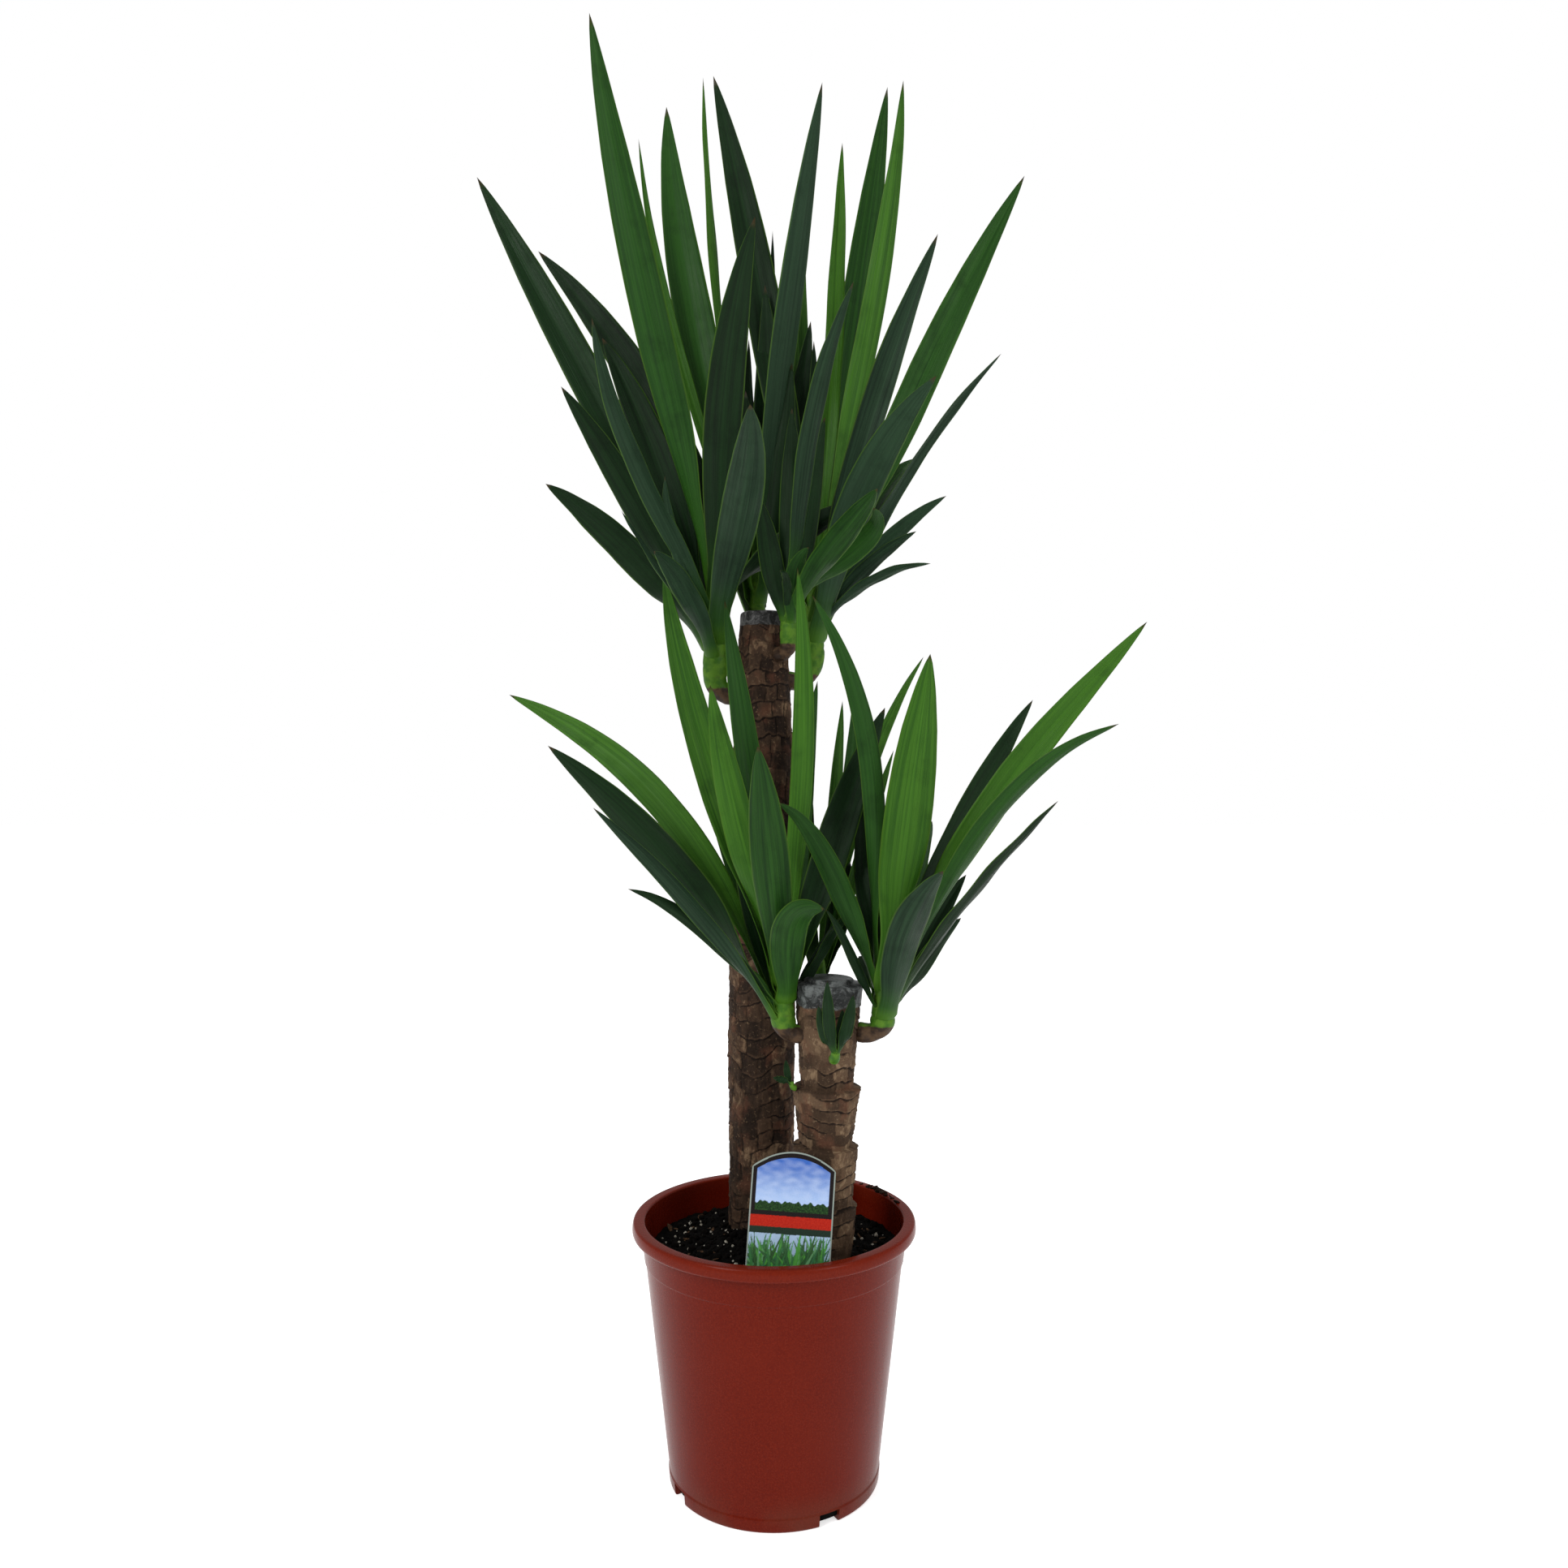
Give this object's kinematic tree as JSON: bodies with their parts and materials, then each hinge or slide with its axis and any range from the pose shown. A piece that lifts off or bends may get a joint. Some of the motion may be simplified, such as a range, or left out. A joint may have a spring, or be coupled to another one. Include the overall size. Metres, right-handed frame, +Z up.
{
  "type": "potted yucca",
  "caption": "Tall indoor yucca: upright cut canes with fans of long sword-shaped leaves, rooted in a round tapered nursery pot of soil that stands on the floor.",
  "frame": {"origin": "middle of the pot's flat underside, where it rests on the floor", "axes": "+Z up along the pot's axis, -Y towards the front, where the label faces"},
  "size_m": [0.5047, 0.362, 1.1268],
  "materials": {
    "pot_plastic": "satin injection-moulded polypropylene, terracotta red",
    "potting_soil": "dark moist peat with white perlite grains",
    "tall_bark": "dark brown flaking bark with ring scars, grey waxed top",
    "short_bark": "brown flaking bark with ring scars, grey waxed top",
    "label_card": null,
    "stem_green": "pale yellow-green young stem",
    "leaf_bright": "satin bright green leaf with pale margins",
    "leaf_middle": "satin mid green leaf with pale margins",
    "leaf_grey": "satin grey-green leaf with a light bloom",
    "leaf_dark": "satin dark green leaf with pale margins"
  },
  "bodies": {
    "root": {"pot": "pot_plastic", "tall_cane": "tall_bark", "short_cane": "short_bark", "plant_label": "label_card", "soil": "potting_soil", "shoot_tall_left": "stem_green", "shoot_tall_back": "stem_green", "shoot_tall_right": "stem_green", "shoot_tall_front": "stem_green", "shoot_short_left": "stem_green", "shoot_short_right": "stem_green", "shoot_short_back": "stem_green", "leaf_tall_left_1": "leaf_grey", "leaf_tall_left_2": "leaf_dark", "leaf_tall_left_3": "leaf_grey", "leaf_tall_left_4": "leaf_dark", "leaf_tall_left_5": "leaf_dark", "leaf_tall_left_6": "leaf_grey", "leaf_tall_left_7": "leaf_dark", "leaf_tall_left_8": "leaf_dark", "leaf_tall_left_9": "leaf_dark", "leaf_tall_left_10": "leaf_middle", "leaf_tall_back_1": "leaf_dark", "leaf_tall_back_2": "leaf_middle", "leaf_tall_back_3": "leaf_bright", "leaf_tall_back_4": "leaf_grey", "leaf_tall_right_1": "leaf_grey", "leaf_tall_right_2": "leaf_grey", "leaf_tall_right_3": "leaf_middle", "leaf_tall_right_4": "leaf_grey", "leaf_tall_right_5": "leaf_bright", "leaf_tall_right_6": "leaf_middle", "leaf_tall_right_7": "leaf_dark", "leaf_tall_right_8": "leaf_bright", "leaf_tall_right_9": "leaf_bright", "leaf_tall_front_1": "leaf_middle", "leaf_tall_front_2": "leaf_middle", "leaf_tall_front_3": "leaf_grey", "leaf_short_left_1": "leaf_grey", "leaf_short_left_2": "leaf_dark", "leaf_short_left_3": "leaf_bright", "leaf_short_left_4": "leaf_middle", "leaf_short_left_5": "leaf_dark", "leaf_short_left_6": "leaf_bright", "leaf_short_left_7": "leaf_middle", "leaf_short_left_8": "leaf_bright", "leaf_short_left_9": "leaf_middle", "leaf_short_left_10": "leaf_bright", "leaf_short_right_1": "leaf_grey", "leaf_short_right_2": "leaf_dark", "leaf_short_right_3": "leaf_middle", "leaf_short_right_4": "leaf_bright", "leaf_short_right_5": "leaf_dark", "leaf_short_right_6": "leaf_middle", "leaf_short_right_7": "leaf_bright", "leaf_short_right_8": "leaf_middle", "leaf_short_right_9": "leaf_dark", "leaf_short_back_1": "leaf_bright", "bud_front": "stem_green", "bud_side": "stem_green"}
  },
  "joints": []
}
